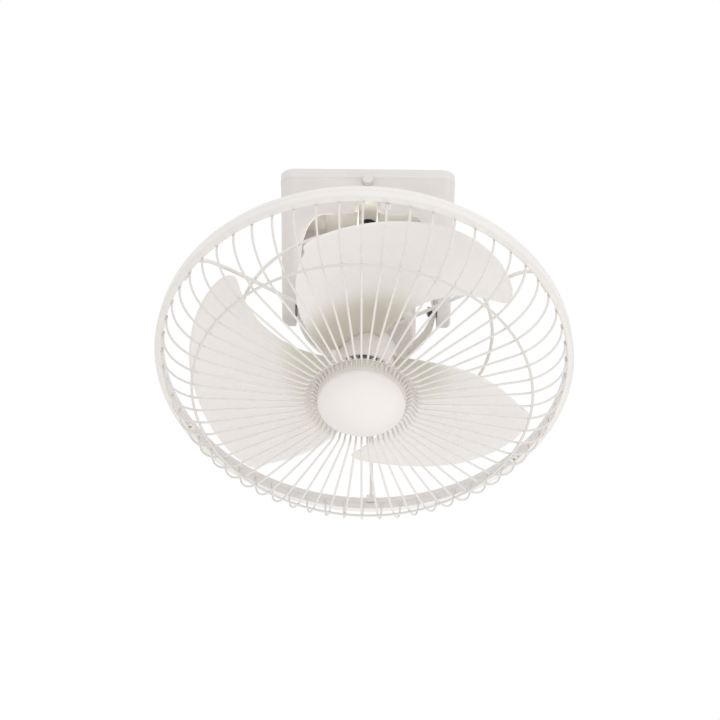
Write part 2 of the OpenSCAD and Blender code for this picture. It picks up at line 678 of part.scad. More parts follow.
// Hub cap: a shallow dome whose centre post stands on the hub plate
cap_rim_h = 51;
cap_edge_h = 55;
cap_front_h = 63.5;
cap_t = 2;
module hub_cap() color(white) at_head() rotate_extrude($fn = 160) polygon(concat(
    [[cap_d / 2, front(cap_rim_h)]],
    dome(cap_d / 2, cap_edge_h, cap_front_h, 0, 90),
    [[0, front(cap_front_h - cap_t)], [0, front(hub_plate_h + 12)],
     [cap_screw_d / 2 + 0.2, front(hub_plate_h + 12)],
     [cap_screw_d / 2 + 0.2, front(hub_plate_h + seat_gap)], [7, front(hub_plate_h + seat_gap)],
     [7, front(cap_front_h - cap_t - 1)]],
    dome(cap_d / 2 - cap_t, cap_edge_h - cap_t * 0.4, cap_front_h - cap_t, 84, 0),
    [[cap_d / 2 - cap_t, front(cap_rim_h)]]));
// Points of a dome's section, from its edge to its crown or back
function dome(r, h0, h1, a0, a1) =
    [for (p = arc([0, 0], 1, a0, a1, 10)) [r * p[0], front(h0 + (h1 - h0) * p[1])]];
module hub_cap_screw() color(steel) at_head() {
    translate([0, 0, front(hub_plate_h - hub_plate_t - seat_gap)]) cylinder(d = 2 * cap_screw_d, h = 2.4);
    translate([0, 0, front(hub_plate_h + 10)]) cylinder(d = cap_screw_d, h = 10 + hub_plate_t + 1);
}

// Rotor
hub_back_h = 8 - hub_l;
shaft_front_h = -8.3;
module motor_shaft() color(steel) at_head() translate([0, 0, front(shaft_front_h)])
    cylinder(d = shaft_d, h = lip_drop + shaft_front_h + motor_rear - 3);
module rotor_core() color(steel) at_head() translate([0, 0, stator_z])
    tube(rotor_r, shaft_d / 2 + seat_gap, stator_l);
module blade_hub() color(white) at_head() {
    difference() {
        union() {
            rotate_extrude($fn = 128) polygon([
                [10, front(hub_back_h + 3)], [10, front(hub_back_h)], [hub_r - 2, front(hub_back_h)],
                [hub_r, front(hub_back_h + 2)], [hub_r, front(6)], [hub_r - 2, front(8)], [30, front(8)],
                [30, front(hub_back_h + 3)]
            ]);
            translate([0, 0, front(-20)]) cylinder(r = 12, h = -20 - hub_back_h);
            for (a = [0:60:300]) rotate([0, 0, a]) translate([10, -1.2, front(-22)])
                cube([22, 2.4, -22 - hub_back_h]);
        }
        translate([0, 0, front(10)]) cylinder(r = shaft_d / 2 + seat_gap / 2, h = 80);
        translate([0, 0, front(hub_back_h + 8)]) along_y(-15) cylinder(d = 4.2, h = 30);
    }
}
module drive_pin() color(steel) at_head() translate([0, 0, front(hub_back_h + 8)]) difference() {
    union() { along_y(-11.5) cylinder(d = 4, h = 5.8); along_y(5.7) cylinder(d = 4, h = 5.8); }
    cylinder(r = shaft_d / 2 + seat_gap, h = 10, center = true);
}
module blade_nut() color(cream) at_head() translate([0, 0, front(-19.9 + 15)]) difference() {
    union() {
        cylinder(r = 16, h = 5);
        translate([0, 0, 0]) cylinder(r = 11, h = 14.8);
    }
    translate([0, 0, 3 + seat_gap]) cylinder(r = shaft_d / 2 + seat_gap, h = 20);
}

// Blades: each is a grid across and along the blade, on a helical surface
blade_rows = 15;
blade_cols = 12;
blade_root_r = hub_r + 0.25;
blade_r = rim_in_r - blade_tip_gap;
blade_lead_r = blade_r - blade_lead_drop;
blade_trail_r = blade_r - blade_trail_drop;
// How far a radius lies from the hub (0) towards one of the blade's corners (1)
function blade_reach(r, corner_r) = min(1, max(0, (r - hub_r) / (corner_r - hub_r)));
// Clock position of the blade's leading edge at a radius; it straightens at the corner
function blade_lead(r) = let (reach = blade_reach(r, blade_lead_r))
    59 - 38.2 * pow(reach, 1.57) * (1 - 0.066 * pow(reach, 22));
// Clock position of the blade's trailing edge at a radius
function blade_trail(r) = 108.8 + 36.8 * pow(1 - blade_reach(r, blade_trail_r), 0.94);
// Radius of the blade's outer end from its leading corner (0) to its trailing corner (1)
function blade_end(u) =
    let (n = u < 0.5 ? 1.33 : 3.7, corner_r = u < 0.5 ? blade_lead_r : blade_trail_r)
    corner_r + (blade_r - corner_r) * pow(max(0, 1 - pow(abs(2 * u - 1), n)), 1 / n);
// Depth of the blade's mid surface in front of the rim's front lip: a helix, steeper outwards,
// that flattens towards the leading edge
function blade_depth(r, az) =
    let (root = 1 - smooth((r - hub_r) / 134.7), turn = (az - 78) * PI / 180, out = (r - 130) / 100)
    -30 + 10 * root + 17.3 * out + 5.3 * pow(out, 2)
    + (blade_pitch + 16.4 * root + 42 * out - 16.6 * pow(out, 2)) * turn
    + (19.9 - 18.2 * out) * pow(turn, 2) - 23.3 * pow(turn, 3);
function blade_point(u, v, side) =
    let (r = blade_root_r + (blade_end(u) - blade_root_r) * v,
         az = blade_lead(r) + (blade_trail(r) - blade_lead(r)) * u,
         thin = (u == 0 || u == 1 || v == 1) ? 0.35 : 1)
    [r * cos(az), -r * sin(az), front(blade_depth(r, az) + side * thin * blade_t / 2)];
function blade_at(i, j) = i * blade_cols + j;
function blade_edge(a, b, n) = [[a, b, n + b], [a, n + b, n + a]];
module blade(turn) color(white) at_head() at_az(turn) {
    n = blade_rows * blade_cols;
    points = [
        for (side = [1, -1]) for (i = [0:blade_rows - 1]) for (j = [0:blade_cols - 1])
            blade_point((1 - cos(180 * i / (blade_rows - 1))) / 2,
                        1 - pow(1 - j / (blade_cols - 1), 1.4), side)
    ];
    faces = [
        for (i = [0:blade_rows - 2]) for (j = [0:blade_cols - 2])
            let (a = blade_at(i, j), b = blade_at(i + 1, j), c = blade_at(i + 1, j + 1),
                 d = blade_at(i, j + 1))
                each [[a, b, c], [a, c, d], [n + a, n + c, n + b], [n + a, n + d, n + c]]
    ];
    edges = concat(
        [for (i = [0:blade_rows - 2]) each blade_edge(blade_at(i + 1, 0), blade_at(i, 0), n)],
        [for (i = [0:blade_rows - 2])
            each blade_edge(blade_at(i, blade_cols - 1), blade_at(i + 1, blade_cols - 1), n)],
        [for (j = [0:blade_cols - 2]) each blade_edge(blade_at(0, j), blade_at(0, j + 1), n)],
        [for (j = [0:blade_cols - 2])
            each blade_edge(blade_at(blade_rows - 1, j + 1), blade_at(blade_rows - 1, j), n)]);
    polyhedron(points, concat(faces, edges));
}
module blade_1() blade(0);
module blade_2() blade(120);
module blade_3() blade(240);

ceiling_plate();
hanger_arm_left();
hanger_arm_right();
bracket_screws();
orbit_bracket();
orbit_bush();
terminal_block();
capacitor();
hood();
hood_thumbscrews();
tilt_pivot_bolts();
tilt_pivot_spacers();
tilt_pivot_nuts();
gimbal_ring();
gimbal_bushes();
motor_front_shell();
motor_rear_shell();
shell_screws();
stator_core();
stator_windings();
shaft_bearings();
sway_pivot_screws();
orbit_gearmotor();
gearmotor_screws();
strut_plate();
strut_right();
strut_left();
strut_bottom();
strut_feet();
rear_wire_ring();
guard_ring_rear();
guard_ring_front();
ring_clips();
guard_wires();
guard_tie_bar();
guard_middle_ring();
guard_hub_plate();
hub_cap();
hub_cap_screw();
motor_shaft();
rotor_core();
blade_hub();
blade_1();
blade_2();
blade_3();
blade_nut();
drive_pin();
crank_shaft();
crank_disc();
crank_pin();
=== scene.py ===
"""Orbital ceiling fan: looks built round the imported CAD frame."""

import json
import math

import bmesh
import bpy
from mathutils import Matrix, Vector


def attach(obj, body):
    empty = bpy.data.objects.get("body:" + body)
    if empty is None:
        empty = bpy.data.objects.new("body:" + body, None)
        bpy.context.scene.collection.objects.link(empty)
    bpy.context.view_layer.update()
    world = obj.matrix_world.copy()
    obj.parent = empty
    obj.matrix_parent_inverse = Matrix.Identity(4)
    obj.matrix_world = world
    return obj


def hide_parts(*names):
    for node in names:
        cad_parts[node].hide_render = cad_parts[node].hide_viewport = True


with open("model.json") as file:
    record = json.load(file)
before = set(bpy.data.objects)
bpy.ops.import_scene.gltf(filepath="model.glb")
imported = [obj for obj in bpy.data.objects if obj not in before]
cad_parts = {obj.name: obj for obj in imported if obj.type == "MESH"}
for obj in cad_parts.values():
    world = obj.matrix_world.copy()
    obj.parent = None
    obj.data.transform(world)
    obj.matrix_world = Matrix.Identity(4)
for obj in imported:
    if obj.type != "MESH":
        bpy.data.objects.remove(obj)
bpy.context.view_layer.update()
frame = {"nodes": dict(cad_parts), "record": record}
nodes = frame["nodes"]
scene = bpy.context.scene
MM = 0.001

# The head's frame, as in part.scad: tilted about X, then swayed about its own Y
PIVOT_DROP = 156.0
TILT = 28.0
SWAY = 1.0
LIP_DROP = 120.5
HEAD = (
    Matrix.Translation((0, 0, -PIVOT_DROP * MM))
    @ Matrix.Rotation(math.radians(-TILT), 4, "X")
    @ Matrix.Rotation(math.radians(SWAY), 4, "Y")
)


def head_point(r, az, h):
    """A point of the head: radius, clock angle seen from the front, depth in front of the lip."""
    a = math.radians(az)
    return HEAD @ Vector((r * math.cos(a) * MM, -r * math.sin(a) * MM, -(LIP_DROP + h) * MM))


# ---------------------------------------------------------------- camera
CAMERA_AT = (14.27, -1291.2, -723.5)
CAMERA_AZ, CAMERA_EL, CAMERA_ROLL = -0.942, 21.175, 1.051
LENS = 55.0
SENSOR_W = 36.0
CLIP_START = 0.01


def make_camera():
    """The photo's view point, from the angles fitted to the rim, the hood and the wires."""
    az, el, roll = (math.radians(a) for a in (CAMERA_AZ, CAMERA_EL, CAMERA_ROLL))
    ahead = Vector((math.sin(az) * math.cos(el), math.cos(az) * math.cos(el), math.sin(el)))
    right = Vector((math.cos(az), -math.sin(az), 0))
    up = right.cross(ahead)
    right, up = (
        right * math.cos(roll) + up * math.sin(roll),
        up * math.cos(roll) - right * math.sin(roll),
    )
    data = bpy.data.cameras.new("camera")
    data.lens = LENS
    data.sensor_width = SENSOR_W
    data.clip_start = CLIP_START
    camera = bpy.data.objects.new("camera", data)
    scene.collection.objects.link(camera)
    turn = Matrix((right, up, -ahead)).transposed().to_4x4()
    camera.matrix_world = Matrix.Translation(Vector(CAMERA_AT) * MM) @ turn
    scene.camera = camera


make_camera()


# ---------------------------------------------------------------- materials
RAMP_LOW, RAMP_HIGH = 0.3, 0.7
GLOSS_SPREAD = 0.15
RELIEF_DEPTH = 0.0005


def fade_to_painted_shade(tree, coords, tone, painted_shade):
    """Painted shade: the colour tone multiplied by a darker shade colour near a point, and left as it
    is far from it.
    """
    point, near, far, shade_tint = painted_shade
    reach = tree.nodes.new("ShaderNodeVectorMath")
    reach.operation = "DISTANCE"
    reach.inputs[1].default_value = point
    tree.links.new(coords.outputs["Object"], reach.inputs[0])
    fade = tree.nodes.new("ShaderNodeValToRGB")
    fade.color_ramp.interpolation = "EASE"
    fade.color_ramp.elements[0].position = near
    fade.color_ramp.elements[1].position = far
    fade.color_ramp.elements[0].color = [*shade_tint, 1]
    fade.color_ramp.elements[1].color = [1, 1, 1, 1]
    tree.links.new(reach.outputs["Value"], fade.inputs["Fac"])
    product = tree.nodes.new("ShaderNodeMix")
    product.data_type = "RGBA"
    product.blend_type = "MULTIPLY"
    product.inputs["Factor"].default_value = 1
    tree.links.new(tone, product.inputs["A"])
    tree.links.new(fade.outputs["Color"], product.inputs["B"])
    return product.outputs["Result"]


def material(
        name, color, rough=0.4, mottle=0.03, grain=900.0, bump=0.05, scale=14.0, painted_shade=None, **sockets):
    """A surface with soft colour variation, uneven gloss and a fine relief.

    The optional painted shade is a point, two distances from it and a darker shade colour that fades
    out between them.
    """
    m = bpy.data.materials.new(name)
    m.use_nodes = True
    t = m.node_tree
    bsdf = t.nodes["Principled BSDF"]
    coords = t.nodes.new("ShaderNodeTexCoord")

    def noise(size, detail):
        n = t.nodes.new("ShaderNodeTexNoise")
        n.inputs["Scale"].default_value = size
        n.inputs["Detail"].default_value = detail
        t.links.new(coords.outputs["Object"], n.inputs["Vector"])
        return n.outputs["Fac"]

    def remap(source, low, high):
        r = t.nodes.new("ShaderNodeMapRange")
        r.inputs["To Min"].default_value = low
        r.inputs["To Max"].default_value = high
        t.links.new(source, r.inputs["Value"])
        return r.outputs["Result"]

    ramp = t.nodes.new("ShaderNodeValToRGB")
    ramp.color_ramp.elements[0].position = RAMP_LOW
    ramp.color_ramp.elements[1].position = RAMP_HIGH
    ramp.color_ramp.elements[0].color = [c * (1 - mottle) for c in color] + [1]
    ramp.color_ramp.elements[1].color = [min(1, c * (1 + mottle)) for c in color] + [1]
    t.links.new(noise(scale, 4), ramp.inputs["Fac"])
    tone = ramp.outputs["Color"]
    if painted_shade:
        tone = fade_to_painted_shade(t, coords, tone, painted_shade)
    t.links.new(tone, bsdf.inputs["Base Color"])
    gloss = remap(noise(scale * 3, 3), rough * (1 - GLOSS_SPREAD), rough * (1 + GLOSS_SPREAD))
    t.links.new(gloss, bsdf.inputs["Roughness"])
    relief = t.nodes.new("ShaderNodeBump")
    relief.inputs["Strength"].default_value = bump
    relief.inputs["Distance"].default_value = RELIEF_DEPTH
    t.links.new(noise(grain, 3), relief.inputs["Height"])
    t.links.new(relief.outputs["Normal"], bsdf.inputs["Normal"])
    for socket, value in sockets.items():
        bsdf.inputs[socket.replace("_", " ")].default_value = value
    return m


def linear(r, g, b):
    """A colour from its 0 to 255 screen values."""
    return [((c / 255 + 0.055) / 1.055) ** 2.4 for c in (r, g, b)]


HOOD = material("hood_plastic", linear(233, 228, 225), rough=0.42, bump=0.06, grain=1400)
ENAMEL = material("white_enamel", linear(241, 237, 234), rough=0.28, mottle=0.015, bump=0.015)
# Painted shade: the guard's middle ring gets a darker copy of the white enamel, for the shade it lies
# in
SHADED_RING = material("guard_ring_shaded_enamel", linear(226, 222, 218), rough=0.35, mottle=0.015, bump=0.015)
# Painted shade: the wires get a darker copy of the white enamel, for the shade they lie in
SHADED_WIRE = material("wire_shaded_enamel", linear(234, 230, 226), rough=0.28, mottle=0.015, bump=0.015)
CREAM = material("cream_enamel", linear(235, 231, 223), rough=0.34, mottle=0.02, bump=0.03)
# Painted shade: the blades' colour darkens towards their roots, around a point near the hub
ROOT_SHADE_CENTRE = head_point(0, 0, -10)
ROOT_SHADE_NEAR, ROOT_SHADE_FAR = 0.076, 0.12
ROOT_SHADE_TINT = (0.75, 0.765, 0.7)
BLADE = material(
    "blade_plastic", linear(243, 238, 236), rough=0.3, mottle=0.012, grain=600, bump=0.02,
    painted_shade=(ROOT_SHADE_CENTRE, ROOT_SHADE_NEAR, ROOT_SHADE_FAR, ROOT_SHADE_TINT),
    Subsurface_Weight=0.5, Subsurface_Radius=(0.006, 0.0055, 0.004), Subsurface_Scale=1.0)
HUB = material("hub_plastic", linear(236, 231, 227), rough=0.35, mottle=0.012, bump=0.02)
CAP = material("cap_plastic", linear(237, 232, 229), rough=0.32, mottle=0.01, bump=0.02)
ZINC = material("zinc_steel", linear(190, 192, 194), rough=0.35, mottle=0.06, Metallic=1.0)
CORE = material("core_steel", linear(130, 130, 132), rough=0.5, mottle=0.08, Metallic=1.0)
COPPER = material("copper_wire", linear(190, 115, 66), rough=0.35, mottle=0.1, Metallic=1.0)
NYLON = material("nylon", linear(228, 225, 214), rough=0.45, mottle=0.02)
RUBBER = material("black_rubber", linear(34, 34, 34), rough=0.7, mottle=0.1, bump=0.15)
DARK = material("dark_plastic", linear(62, 61, 58), rough=0.5, mottle=0.05)
DARK_STEEL = material("dark_steel", linear(92, 91, 88), rough=0.4, mottle=0.08, Metallic=1.0)
BY_SLOT = {
    "hood_plastic": HOOD, "white_enamel": ENAMEL, "cream_enamel": CREAM, "blade_plastic": BLADE,
    "zinc_steel": ZINC, "core_steel": CORE, "copper_wire": COPPER, "nylon": NYLON,
    "black_rubber": RUBBER, "dark_plastic": DARK, "dark_steel": DARK_STEEL,
}
# Nodes whose tone differs a little from that of their slot; the middle ring's darker tone is painted
# shade
OWN_TONE_AND_SHADE = {"hub_cap": CAP, "guard_middle_ring": SHADED_RING}
SLOT_OF = {part["node"]: part["material_slot"] for part in frame["record"]["subparts"]}
BODY_OF = {
    node: body for body, members in frame["record"]["behaviour"]["bodies"].items() for node in members
}
for node, slot in SLOT_OF.items():
    for place in nodes[node].material_slots:
        place.material = OWN_TONE_AND_SHADE.get(node, BY_SLOT[slot])


# ---------------------------------------------------------------- mesh helpers
def piece(name, points, faces, slot, body, smooth_angle=35.0):
    """A new object from points and faces, smooth but for its edges, that rides a body."""
    mesh = bpy.data.meshes.new(name)
    mesh.from_pydata(points, [], faces)
    mesh.validate()
    work = bmesh.new()
    work.from_mesh(mesh)
    bmesh.ops.recalc_face_normals(work, faces=work.faces)
    work.to_mesh(mesh)
    work.free()
    mesh.shade_smooth()
    mesh.set_sharp_from_angle(angle=math.radians(smooth_angle))
    mesh.materials.append(BY_SLOT[slot])
    obj = bpy.data.objects.new(name, mesh)
    scene.collection.objects.link(obj)
    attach(obj, body)
    return obj


def tube(path, radius, sides, points, faces):
    """Adds a round tube along a list of points to points and faces, with flat ends."""
    count = len(path)
    ahead = [(path[min(i + 1, count - 1)] - path[max(i - 1, 0)]).normalized() for i in range(count)]
    normal = ahead[0].orthogonal().normalized()
    start = len(points)
    for i in range(count):
        normal = (normal - ahead[i] * normal.dot(ahead[i])).normalized()
        side = ahead[i].cross(normal)
        for j in range(sides):
            a = 2 * math.pi * j / sides
            points.append(path[i] + (normal * math.cos(a) + side * math.sin(a)) * radius)
    for i in range(count - 1):
        for j in range(sides):
            k = start + i * sides
            n = (j + 1) % sides
            faces.append((k + j, k + n, k + sides + n, k + sides + j))
    faces.append([start + j for j in reversed(range(sides))])
    faces.append([start + (count - 1) * sides + j for j in range(sides)])


def turned(name, section, place, slot, body, sides=120):
    """A ring with a closed section of radius and height pairs, at the points that place gives."""
    points = [place(r, 360 * i / sides, h) for i in range(sides) for r, h in section]
    count, faces = len(section), []
    for i in range(sides):
        a, b = i * count, (i + 1) % sides * count
        for j in range(count):
            k = (j + 1) % count
            faces.append((a + j, a + k, b + k, b + j))
    return piece(name, points, faces, slot, body, smooth_angle=40)


# ---------------------------------------------------------------- guard rim
RIM_OUT = 250.0
RIM_W = 8.5
RIM_IN = RIM_OUT - RIM_W
RIM_H = 20.0
RIM_EDGE_R = 2.8
RIM_INNER_EDGE_R = RIM_EDGE_R * 0.6
RIM_SEAM_R_IN, RIM_SEAM_R_OUT = 0.4, 0.5
RIM_SIDES = 360
CORNER_STEPS = 6
SEAT_GAP = 0.1


def rim_section(seam, edge):
    """Section of half the rim: small edges at the seam, round ones at the lip."""
    side = 1 if edge > seam else -1
    depth = abs(edge - seam)
    section = []
    for r, t, radius, start in (
            (RIM_IN, 0, RIM_SEAM_R_IN, 180), (RIM_OUT, 0, RIM_SEAM_R_OUT, 270),
            (RIM_OUT, depth, RIM_EDGE_R, 0), (RIM_IN, depth, RIM_INNER_EDGE_R, 90)):
        centre_r = r + radius if r == RIM_IN else r - radius
        centre_t = t - radius if t else radius
        for i in range(CORNER_STEPS + 1):
            a = math.radians(start + 90 * i / CORNER_STEPS)
            away = centre_t + radius * math.sin(a)
            section.append((centre_r + radius * math.cos(a), seam + side * away))
    return section


for name, node, seam, edge in (
        ("rim_front_half", "guard_ring_front", -RIM_H / 2 + SEAT_GAP, 0),
        ("rim_rear_half", "guard_ring_rear", -RIM_H / 2 - SEAT_GAP, -RIM_H)):
    rim = turned(name, rim_section(seam, edge), head_point, "white_enamel", "head", RIM_SIDES)
    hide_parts(node)

# ---------------------------------------------------------------- guard wires
WIRE_N, WIRE_D = 60, 2.6
# The wires are welded: they sink a little into the rim
WIRE_SINK = 0.35
WIRE_R0 = RIM_IN + WIRE_SINK - WIRE_D / 2
WIRE_START_H = -9.0
WIRE_BEND_R = 57.0
WIRE_BEND_STEPS = 20
WIRE_CREST_DROP = 2.3
WIRE_SIDES = 10
HUB_DEPTH = 53.0
HUB_BEND_R = 70.0
HUB_CORNER_R = 4.0
HUB_CORNER_STEPS = 4
CORNER_SHARE = 0.45
WIRE_FLOOR_H = 41.0
WIRE_END = (52.8, 47.6)


def rounded(corners, radius, steps):
    """A polyline's points with each inner corner rounded over a reach of radius, or less."""
    out = [corners[0]]
    for before, corner, after in zip(corners, corners[1:], corners[2:]):
        a, b = before - corner, after - corner
        reach = min(radius, a.length * CORNER_SHARE, b.length * CORNER_SHARE)
        p, q = corner + a.normalized() * reach, corner + b.normalized() * reach
        for i in range(steps + 1):
            t = i / steps
            out.append(p * (1 - t) ** 2 + corner * 2 * t * (1 - t) + q * t * t)
    return out + [corners[-1]]


def wire_profile():
    """Radius and depth of a wire's path: the large bend, the drop and the way up to the cap."""
    centre = Vector((WIRE_R0 - WIRE_BEND_R, HUB_DEPTH - WIRE_CREST_DROP - WIRE_BEND_R))
    angles = [math.radians(90 * i / WIRE_BEND_STEPS) for i in range(WIRE_BEND_STEPS + 1)]
    arc = [centre + Vector((math.cos(a), math.sin(a))) * WIRE_BEND_R for a in angles]
    corners = [arc[-1]] + [Vector(corner) for corner in (
        (HUB_BEND_R + 3, HUB_DEPTH), (HUB_BEND_R - 3, HUB_DEPTH - 1),
        (HUB_BEND_R - 8, WIRE_FLOOR_H + 2), (HUB_BEND_R - 12.6, WIRE_FLOOR_H), WIRE_END)]
    inner = rounded(corners, HUB_CORNER_R, HUB_CORNER_STEPS)
    return [Vector((WIRE_R0, WIRE_START_H))] + arc + inner[1:]


def make_wires():
    """All the guard's wires as one piece, which stands for the node."""
    profile = wire_profile()
    points, faces = [], []
    for i in range(WIRE_N):
        az = 90 + i * 360 / WIRE_N
        path = [head_point(r, az, h) for r, h in profile]
        tube(path, WIRE_D / 2 * MM, WIRE_SIDES, points, faces)
    obj = piece("guard_wire_cage", points, faces, "white_enamel", "head")
    # Painted shade: the wires take the darker copy of the white enamel
    obj.data.materials[0] = SHADED_WIRE
    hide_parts("guard_wires")


make_wires()

# Sloped skirt that joins the hub plate's edge to the cap's, where the wires end
SKIRT_T = 0.6
SKIRT_TOP_R, SKIRT_TOP_H = 50.3, 50.2
SKIRT_FOOT_R, SKIRT_FOOT_H = 55.2, 40.2
turned(
    "hub_plate_skirt",
    [(SKIRT_TOP_R, SKIRT_TOP_H), (SKIRT_TOP_R + SKIRT_T, SKIRT_TOP_H),
     (SKIRT_FOOT_R + SKIRT_T, SKIRT_FOOT_H), (SKIRT_FOOT_R, SKIRT_FOOT_H)],
    head_point, "cream_enamel", "head")

# ---------------------------------------------------------------- inside the hood
CABLE_HOLE_Y = 48.0
GROMMET_R, GROMMET_BORE_R = 9.8, 3.0
GROMMET_TOP, GROMMET_FOOT = -0.4, -6.0
GROMMET_SIDES = 48
PLATE_W, PLATE_D = 196.5, 156.0
HOOD_IN_W, HOOD_IN_D = 216.5, 171.0
SEAL_TOP, SEAL_FOOT = -0.4, -1.6
SEAL_GAP = 0.3
SEAL_END_GAP = 8.0
PADS_Y, PADS_D = 48.0, 56.0
PADS_Z, PADS_T = -3.4, 1.8
PADS_EDGE = 0.8


def cable_hole_point(r, az, z):
    """A point at a radius and angle about the ceiling plate's cable hole."""
    a = math.radians(az)
    return Vector((r * math.cos(a), CABLE_HOLE_Y + r * math.sin(a), z)) * MM


turned(
    "cable_grommet",
    [(GROMMET_R, GROMMET_TOP), (GROMMET_R, GROMMET_FOOT + 0.8), (GROMMET_R - 0.6, GROMMET_FOOT),
     (GROMMET_BORE_R + 0.6, GROMMET_FOOT), (GROMMET_BORE_R, GROMMET_FOOT + 0.8),
     (GROMMET_BORE_R, GROMMET_TOP)],
    cable_hole_point, "black_rubber", BODY_OF["ceiling_plate"], GROMMET_SIDES)


def make_seal():
    """Flat strips that close the gap between the ceiling plate and the hood's walls."""
    points, faces = [], []
    for side in (1, -1):
        for x0, x1, y0, y1 in (
                (-HOOD_IN_W / 2 + SEAL_END_GAP, HOOD_IN_W / 2 - SEAL_END_GAP,
                 PLATE_D / 2 + SEAL_GAP, HOOD_IN_D / 2 - SEAL_GAP),
                (PLATE_W / 2 + SEAL_GAP, HOOD_IN_W / 2 - SEAL_GAP, -PLATE_D / 2, PLATE_D / 2)):
            k = len(points)
            for z in (SEAL_TOP, SEAL_FOOT):
                for x, y in ((x0, y0), (x1, y0), (x1, y1), (x0, y1)):
                    points.append(Vector((side * x, side * y, z)) * MM)
            faces += [
                (k, k + 1, k + 2, k + 3), (k + 7, k + 6, k + 5, k + 4), (k, k + 4, k + 5, k + 1),
                (k + 1, k + 5, k + 6, k + 2), (k + 2, k + 6, k + 7, k + 3), (k + 3, k + 7, k + 4, k)]
    piece("hood_seal", points, faces, "hood_plastic", BODY_OF["ceiling_plate"])


def make_pad(name, x0, x1):
    """A raised pad pressed into the ceiling plate, between two places across it."""
    raised = bmesh.new()
    bmesh.ops.create_cube(raised, size=1)
    for v in raised.verts:
        x, y = (x0 + x1) / 2 + v.co.x * (x1 - x0), PADS_Y + v.co.y * PADS_D
        v.co = Vector((x, y, PADS_Z + v.co.z * PADS_T)) * MM
    bmesh.ops.bevel(
        raised, geom=raised.edges[:], offset=PADS_EDGE * MM, segments=3, profile=0.5, affect="EDGES")
    points = [v.co.copy() for v in raised.verts]
    faces = [[v.index for v in face.verts] for face in raised.faces]
    raised.free()
    piece(name, points, faces, "cream_enamel", BODY_OF["ceiling_plate"])


make_seal()
make_pad("plate_pad_left", -58, -14)
make_pad("plate_pad_right", 23, 88)

# ---------------------------------------------------------------- blades
# A blade's outline and depth follow the formulas of part.scad, with the same numbers
HUB_R = 39.0
BLADE_TIP_GAP = 25.9
BLADE_R = RIM_IN - BLADE_TIP_GAP
LEAD_R = BLADE_R - 23.8
TRAIL_R = BLADE_R - 20.6
LEAD_ROOT_AZ, LEAD_SWEEP, LEAD_POWER = 59.0, 38.2, 1.57
LEAD_HOOK, LEAD_HOOK_POWER = 0.066, 22
TRAIL_TIP_AZ, TRAIL_SWEEP, TRAIL_POWER = 108.8, 36.8, 0.94
LEAD_TIP_POWER, TRAIL_TIP_POWER = 1.33, 3.7
BLADE_T = 2.6
BLADE_MID_AZ, BLADE_MID_R = 78.0, 130.0
ROOT_SPAN = 134.7
# Depth at the middle, its slope across the blade, then how it curves across
LEVEL, LEVEL_ROOT, LEVEL_OUT, LEVEL_OUT_2 = -30.0, 10.0, 17.3, 5.3
PITCH, PITCH_ROOT, PITCH_OUT, PITCH_OUT_2 = 37.9, 16.4, 42.0, -16.6
CAMBER, CAMBER_OUT, HOLLOW = 19.9, -18.2, -23.3
# In the looks only: a finer mesh, thin edges and a rounded leading tip
BLADE_ROOT_R = HUB_R - 1.2
BLADE_ROWS, BLADE_COLS = 49, 41
COLUMN_POWER = 1.3
EDGE_BAND = 2.2
EDGE_SHARE = 0.15
TIP_REACH, TIP_PULL = 24.0, 6.5
TIP_INWARDS, TIP_ACROSS = 0.59, 0.81


def smooth(t):
    """A step from 0 to 1 with soft ends."""
    s = min(1.0, max(0.0, t))
    return s * s * (3 - 2 * s)


def blade_reach(r, corner_r):
    """How far r is from the hub to a corner of the tip, from 0 to 1."""
    return min(1.0, max(0.0, (r - HUB_R) / (corner_r - HUB_R)))


def blade_lead(r):
    """Clock angle of the leading edge."""
    reach = blade_reach(r, LEAD_R)
    return LEAD_ROOT_AZ - LEAD_SWEEP * reach ** LEAD_POWER * (1 - LEAD_HOOK * reach ** LEAD_HOOK_POWER)


def blade_trail(r):
    """Clock angle of the trailing edge."""
    return TRAIL_TIP_AZ + TRAIL_SWEEP * (1 - blade_reach(r, TRAIL_R)) ** TRAIL_POWER


def blade_end(u):
    """Radius of the tip's edge, at a share u of the way from the leading to the trailing edge."""
    n, corner_r = (LEAD_TIP_POWER, LEAD_R) if u < 0.5 else (TRAIL_TIP_POWER, TRAIL_R)
    return corner_r + (BLADE_R - corner_r) * max(0.0, 1 - abs(2 * u - 1) ** n) ** (1 / n)


def blade_depth(r, az):
    """Depth of the mid surface in front of the lip."""
    root = 1 - smooth((r - HUB_R) / ROOT_SPAN)
    turn, out = math.radians(az - BLADE_MID_AZ), (r - BLADE_MID_R) / 100
    level = LEVEL + LEVEL_ROOT * root + LEVEL_OUT * out + LEVEL_OUT_2 * out ** 2
    pitch = PITCH + PITCH_ROOT * root + PITCH_OUT * out + PITCH_OUT_2 * out ** 2
    return level + pitch * turn + (CAMBER + CAMBER_OUT * out) * turn ** 2 + HOLLOW * turn ** 3


def rounded_tip(r, az):
    """Draws points near the leading tip inwards, which rounds its corner."""
    out, across = r - LEAD_R, math.radians(az - blade_lead(LEAD_R)) * LEAD_R
    pull = TIP_PULL * max(0.0, 1 - math.hypot(out, across) / TIP_REACH) ** 2
    return r - TIP_INWARDS * pull, az + math.degrees(TIP_ACROSS * pull / LEAD_R)


def blade_point(u, v, side, turn):
    """A point of a blade's face: shares u across and v outwards, side 1 or -1."""
    r = BLADE_ROOT_R + (blade_end(u) - BLADE_ROOT_R) * v
    width = blade_trail(r) - blade_lead(r)
    az = blade_lead(r) + width * u
    edge = min(min(u, 1 - u) * width * math.radians(r), blade_end(u) - r)
    share = math.sqrt(max(0.0, edge) / EDGE_BAND) * (1 - EDGE_SHARE) + EDGE_SHARE
    half = BLADE_T / 2 * min(1.0, share)
    r, az = rounded_tip(r, az)
    return head_point(r, az + turn, blade_depth(r, az) + side * half)


